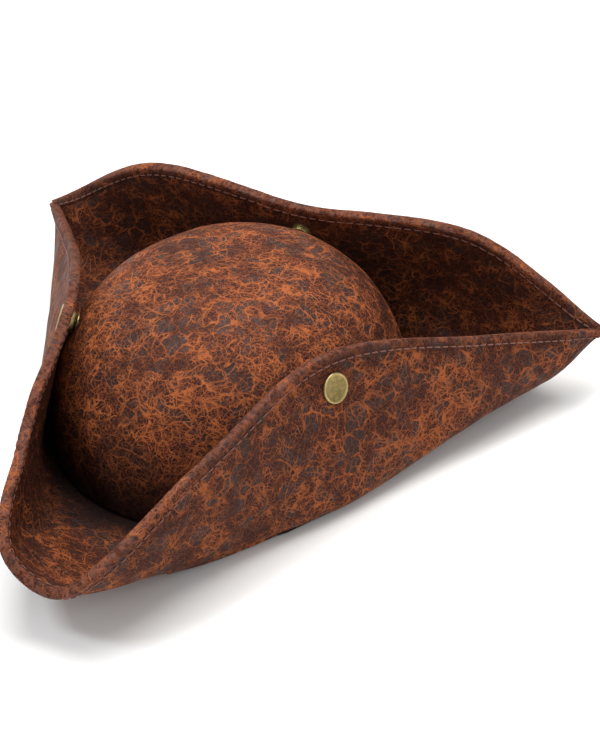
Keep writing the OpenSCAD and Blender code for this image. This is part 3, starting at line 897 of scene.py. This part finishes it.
def dome(name, s, out, inn, cols=128, rows=56, lumps=0.0):
    """A closed dome between two inset surfaces, open at its foot as a thin rim."""
    turns = np.linspace(0, 2 * math.pi, cols, endpoint=False)
    climbs = math.pi / 2 * np.linspace(0, 1, rows + 1)[:-1] ** 1.1
    layers = []
    for inset in (out, inn):
        g = crown_grid(s, inset, turns, climbs)
        if lumps:
            flat = g.reshape(-1, 3)
            wave = np.array(
                [noise.noise(Vector(x) / 38.0) + 0.35 * noise.noise(Vector(x) / 15.0) for x in flat]
            ).reshape(g.shape[:2])
            fade = np.clip(climbs / 0.35, 0, 1)[None, :]
            away = unit(g - np.array([0, 0, 20.0]))
            g = g + away * (wave * lumps * fade)[..., None]
        layers.append(g)
    nu, nv = cols, rows
    tops = [layer[:, -1].mean(0) for layer in layers]
    foot = s.brim_rise + s.felt_t / 2 + s.leather_t
    for k, inset in enumerate((out, inn)):
        tops[k] = np.array([0, 0, max(tops[k][2], foot + s.crown_h - inset - 0.4)])
    verts = np.concatenate([layers[0].reshape(-1, 3), layers[1].reshape(-1, 3), tops])
    idx = np.arange(nu * nv).reshape(nu, nv)
    nxt = np.roll(idx, -1, axis=0)
    outer = np.stack([idx[:, :-1], nxt[:, :-1], nxt[:, 1:], idx[:, 1:]], -1).reshape(-1, 4)
    inner = np.stack([idx[:, :-1], idx[:, 1:], nxt[:, 1:], nxt[:, :-1]], -1).reshape(-1, 4) + nu * nv
    rim = np.stack([nxt[:, 0], idx[:, 0], idx[:, 0] + nu * nv, nxt[:, 0] + nu * nv], -1)
    last = 2 * nu * nv
    caps = [[idx[i, -1], nxt[i, -1], last] for i in range(nu)] + [
        [nxt[i, -1] + nu * nv, idx[i, -1] + nu * nv, last + 1] for i in range(nu)
    ]
    uv = np.stack(
        [
            np.broadcast_to(turns[:, None] * 0.095, (nu, nv)),
            np.broadcast_to(climbs[None, :] * 0.11, (nu, nv)),
        ],
        -1,
    ).reshape(-1, 2)
    uv = np.vstack([uv, uv, [[0, 0.17], [0, 0.17]]])
    # painted shade weights for the crown's foot
    crown_shade = hollow_shade(verts)
    return make(name, verts, [*outer, *inner, *rim, *caps], {"hollow_shade": crown_shade, "rim": np.zeros(len(verts))}, uv)


class HAT_OT_crown(bpy.types.Operator):
    """Builds the crown: leather, stiffener and lining."""

    bl_idname = "hat.crown"
    bl_label = "Crown"

    def execute(self, context):
        s = shape()
        a, b = s.leather_t, s.leather_t + s.crown_felt_t
        wall = b + s.lining_t
        # painted light: the crown's leather is painted lighter
        shell = paint(
            dome("crown_leather", s, 0, a, lumps=0.9), distressed("crown_leather", painted_light=0.2, gloss=0.9),
            "crown_leather",
        )
        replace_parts(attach(shell, "crown"), "crown_shell")
        felt = paint(dome("crown_felt", s, a, b, lumps=0.9), bpy.data.materials["pressed_felt"], "felt")
        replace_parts(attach(felt, "crown"), "crown_stiffener")
        lining = paint(
            dome("crown_lining_cloth", s, b, wall, lumps=0.9),
            woven("lining_cloth", (0.035, 0.028, 0.026), 1400), "lining_cloth",
        )
        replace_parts(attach(lining, "crown"), "crown_lining")
        return {"FINISHED"}


class HAT_OT_sweatband(bpy.types.Operator):
    """Sews the sweatband round the inside of the head opening."""

    bl_idname = "hat.sweatband"
    bl_label = "Sweatband"

    def execute(self, context):
        s = shape()
        wall = s.leather_t + s.crown_felt_t + s.lining_t
        turns = np.linspace(0, 2 * math.pi, 181)
        climbs = np.linspace(0, math.radians(20.5), 12)
        half = s.felt_t / 2 + s.leather_t
        rows = []
        for inset in (wall + 1.1, wall + 0.15):
            g = crown_grid(s, inset, turns, climbs)
            low = g[:, :1].copy()
            low[..., 2] = s.brim_rise - half + 0.1
            mid = (g[:, :1] * 0.5 + low * 0.5)
            rows.append(np.concatenate([low, mid, g], axis=1))
        wave = np.array([noise.noise(Vector((math.cos(t) * 3, math.sin(t) * 3, 0))) for t in turns]) * 0.25
        inner, outer = rows
        inner[:, 2:-1, :2] *= (1 - wave[:, None, None] * 0.004)
        verts, faces = slab(inner, outer)
        uv = np.stack(
            [
                np.broadcast_to(turns[:, None] * 0.09, inner.shape[:2]),
                np.broadcast_to(np.arange(inner.shape[1]) * 0.003, inner.shape[:2]),
            ],
            -1,
        ).reshape(-1, 2)
        ob = make("sweatband_hide", verts, faces, {"rim": np.zeros(len(verts))}, np.vstack([uv, uv]))
        paint(crisp(ob), smooth_hide("sweatband_hide", (0.022, 0.017, 0.015)), "sweatband_leather")
        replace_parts(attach(ob, "crown"), "sweatband")
        return {"FINISHED"}


# ---------------------------------------------------------------- press studs


def lathe(name, profile, place, way, steps=72):
    """Turns a profile of (radius, height) pairs, in millimetres, about an axis in the hat."""
    bpy.ops.object.select_all(action="DESELECT")
    mesh = bpy.data.meshes.new(name)
    mesh.from_pydata(
        [(r * MM, 0, z * MM) for r, z in profile], [(i, i + 1) for i in range(len(profile) - 1)], []
    )
    ob = bpy.data.objects.new(name, mesh)
    bpy.context.collection.objects.link(ob)
    bpy.context.view_layer.objects.active = ob
    ob.select_set(True)
    mod = ob.modifiers.new("turn", "SCREW")
    mod.steps = mod.render_steps = steps
    mod.use_merge_vertices = True
    mod.merge_threshold = 1e-6
    mod.use_smooth_shade = True
    bpy.ops.object.modifier_apply(modifier=mod.name)
    bpy.ops.object.mode_set(mode="EDIT")
    bpy.ops.mesh.select_all(action="SELECT")
    bpy.ops.mesh.normals_make_consistent(inside=False)
    bpy.ops.object.mode_set(mode="OBJECT")
    radii = np.array([math.hypot(v.co.x, v.co.y) for v in ob.data.vertices]) / MM
    top = np.array([v.co.z for v in ob.data.vertices]) / MM
    turn = Vector((0, 0, 1)).rotation_difference(Vector(way)).to_matrix().to_4x4()
    ob.data.transform(Matrix.Translation(Vector(place) * MM) @ turn)
    ob.data.update()
    grain = ob.data.attributes.new("grain", "FLOAT_VECTOR", "POINT")
    grain.data.foreach_set("vector", np.array([v.co for v in ob.data.vertices], np.float32).ravel())
    rim = ob.data.attributes.new("rim", "FLOAT", "POINT")
    rim.data.foreach_set(
        "value", (np.clip((radii - radii.max() + 1.3) / 0.5, 0, 1) * (top > 0)).astype(np.float32)
    )
    return crisp(ob, 0.7)


def cap_profile(r):
    """Radius and height of a dished cap with a raised rim, and its shank."""
    dish = [(0, 0.75), (r * 0.30, 0.74), (r * 0.60, 0.80), (r - 2.0, 0.98), (r - 1.35, 1.16)]
    rim = [(r - 1.0, 1.42), (r - 0.7, 1.56), (r - 0.35, 1.52), (r - 0.08, 1.25), (r, 0.85)]
    back = [(r - 0.05, 0.35), (r - 0.4, -0.05), (r - 1.2, -0.2), (1.6, -0.2)]
    shank = [(1.5, -0.6), (1.5, -2.8), (0, -2.8)]
    return dish + rim + back + shank


def socket_profile(deep, wide=5.5):
    """Radius and height of a socket: a ring of this depth and radius, closed on itself."""
    inside = [(1.6, 0.25), (1.6, -0.15), (3.4, -0.2), (3.4, -deep + 0.15), (3.65, -deep - 0.05)]
    lip = [(4.2, -deep), (4.9, -deep + 0.05), (5.3, -deep + 0.35)]
    outside = [(wide, -deep + 0.8), (wide, 0.15), (wide - 0.2, 0.25)]
    return inside + lip + outside + inside[:1]


def stud_profile(ball):
    """Radius and height of a stud: its flange, neck and round head."""
    flange = [(0, 0.05), (4.7, 0.05), (5.0, 0.2), (4.95, 0.5), (4.3, 0.85)]
    neck = [(ball - 0.5, 0.98), (ball - 0.7, 1.25), (ball - 0.65, 1.5), (ball - 0.1, 1.85)]
    head = [(ball, 2.15), (ball - 0.15, 2.55), (ball - 0.7, 2.9), (ball - 1.5, 3.1), (0, 3.14)]
    return flange + neck + head


def rivet_profile(wall):
    """Radius and height of a rivet through a wall of this thickness."""
    shank = [(0, 0), (1.45, 0), (1.5, 0.55 - wall)]
    plate = [(4.4, 0.5 - wall), (4.5, 0.35 - wall), (4.45, 0.1 - wall), (4.0, -0.2 - wall)]
    return shank + plate + [(2.0, -0.28 - wall), (0, -0.28 - wall)]


def drop(s, place, way):
    """Distance in millimetres from a stud's place on the flap to the crown."""
    foot = s.brim_rise + s.felt_t / 2 + s.leather_t
    for t in np.arange(0, 20, 0.02):
        x, y, z = place - way * t
        reach = math.hypot(x / s.crown_half_w, y / s.crown_half_l)
        if reach ** s.crown_side + (max(z - foot, 0) / s.crown_h) ** s.crown_dome <= 1:
            return t
    raise RuntimeError("The stud's axis misses the crown")


class HAT_OT_studs(bpy.types.Operator):
    """Makes the three press studs: caps, sockets, studs and rivets."""

    bl_idname = "hat.studs"
    bl_label = "Press studs"

    def execute(self, context):
        s = shape()
        brim = Brim(s)
        # painted shade: a copy of the brass at 0.8 of its brightness for the sockets, studs and rivets under
        # the flaps and inside the crown
        brass, shaded = aged_brass("antique_brass"), aged_brass("worn_brass", 0.8)
        half = s.felt_t / 2 + s.leather_t
        r = s.cap_d / 2
        for side in STUDS:
            place, way = stud_place(brim, side)
            cap = cap_profile(r)
            ob = paint(lathe(f"{side}_press_cap", cap, place + way * half, way), brass, "antique_brass")
            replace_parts(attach(ob, f"{side}_flap"), f"{side}_flap_cap")
            reach = drop(s, place, way)
            socket = socket_profile(reach - half - 1.2)
            stud = stud_profile(s.stud_head_d / 2)
            rivet = rivet_profile(s.leather_t + s.crown_felt_t + s.lining_t)
            for kind, profile, away, body in (
                ("socket", socket, -half, "flap"), ("stud", stud, -reach - 0.25, ""),
                ("stud_rivet", rivet, -reach - 0.27, ""),
            ):
                node = f"{side}_flap_{kind}" if body else f"{side}_{kind}"
                ob = paint(lathe(f"{side}_snap_{kind}", profile, place + way * away, way), shaded, "worn_brass")
                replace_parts(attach(ob, f"{side}_flap" if body else "crown"), node)
        return {"FINISHED"}


# ---------------------------------------------------------------- studio


class HAT_OT_stage(bpy.types.Operator):
    """Sets the floor, the lights and the camera."""

    bl_idname = "hat.stage"
    bl_label = "Studio"

    def execute(self, context):
        bpy.ops.object.select_all(action="DESELECT")
        bpy.ops.mesh.primitive_plane_add(size=12, location=(0, 0, 0))
        floor = context.active_object
        floor.name = "floor"
        n = Net("floor_paper", Roughness=0.9)
        place = n.add("TexCoord", out=3)
        floor.data.materials.append(
            n.set(Base_Color=n.mix(n.noise(place, 3.0), (0.86, 0.86, 0.855), (0.90, 0.90, 0.895)))
        )
        world = bpy.data.worlds.new("studio")
        context.scene.world = world
        world.use_nodes = True
        world.node_tree.nodes["Background"].inputs[0].default_value = (1.0, 1.0, 1.0, 1.0)
        world.node_tree.nodes["Background"].inputs[1].default_value = 0.5
        for name, place, size, power, tint in (
            ("key", (-0.1, 0.35, 1.5), 1.2, 27.0, (1.0, 0.985, 0.96)),
            ("fill", (1.2, -0.9, 1.1), 1.0, 5.0, (1.0, 1.0, 1.0)),
            ("window", (-0.55, -0.6, 1.15), 0.3, 6.0, (0.93, 0.97, 1.0)),
            ("strip", (-1.2, 0.25, 0.34), 0.35, 0.6, (0.93, 0.97, 1.0)),
        ):
            bpy.ops.object.select_all(action="DESELECT")
            bpy.ops.object.light_add(type="AREA", location=place)
            lamp = context.active_object
            lamp.name = name
            lamp.data.energy, lamp.data.size, lamp.data.color = power, size, tint
            lamp.rotation_euler = (Vector((0, 0, 0.03)) - Vector(place)).to_track_quat("-Z", "Y").to_euler()
        bpy.ops.object.select_all(action="DESELECT")
        bpy.ops.object.camera_add(location=(0.392, -0.800, 0.629))
        cam = context.active_object
        cam.name = "camera"
        yaw, pitch, roll = (math.radians(v) for v in (23.87, 34.07, 0.20))
        turns = ((0, 0, yaw), (math.pi / 2 - pitch, 0, 0), (0, 0, roll))
        about, tilt, lean = (Euler(angles).to_matrix() for angles in turns)
        turn = about @ tilt @ lean
        cam.rotation_euler = turn.to_euler()
        cam.data.lens = 102.7
        cam.data.clip_start = 0.01
        context.scene.camera = cam
        context.scene.view_settings.view_transform = "Standard"
        return {"FINISHED"}


class HAT_PT_panel(bpy.types.Panel):
    """Buttons for each group of the hat."""

    bl_label = "Pirate hat"
    bl_space_type = "VIEW_3D"
    bl_region_type = "UI"
    bl_category = "Hat"

    def draw(self, context):
        for step in STEPS:
            self.layout.operator(step.bl_idname)
        for key in ("crown_h", "binding_w", "stitch", "detail"):
            self.layout.prop(shape(), key)
        for key in ("rust", "bark", "char", "brass"):
            self.layout.prop(look(), key)


STEPS = (
    HAT_OT_brim, HAT_OT_binding, HAT_OT_stitching, HAT_OT_crown, HAT_OT_sweatband, HAT_OT_studs, HAT_OT_stage
)
CLASSES = (HatShape, HatLook, *STEPS, HAT_PT_panel)


def register():
    for c in CLASSES:
        bpy.utils.register_class(c)
    bpy.types.Scene.hat_shape = PointerProperty(type=HatShape)
    bpy.types.Scene.hat_look = PointerProperty(type=HatLook)


def unregister():
    del bpy.types.Scene.hat_shape
    del bpy.types.Scene.hat_look
    for c in reversed(CLASSES):
        bpy.utils.unregister_class(c)


def main():
    register()
    for step in STEPS:
        group, name = step.bl_idname.split(".")
        getattr(getattr(bpy.ops, group), name)()


if __name__ == "__main__":
    main()
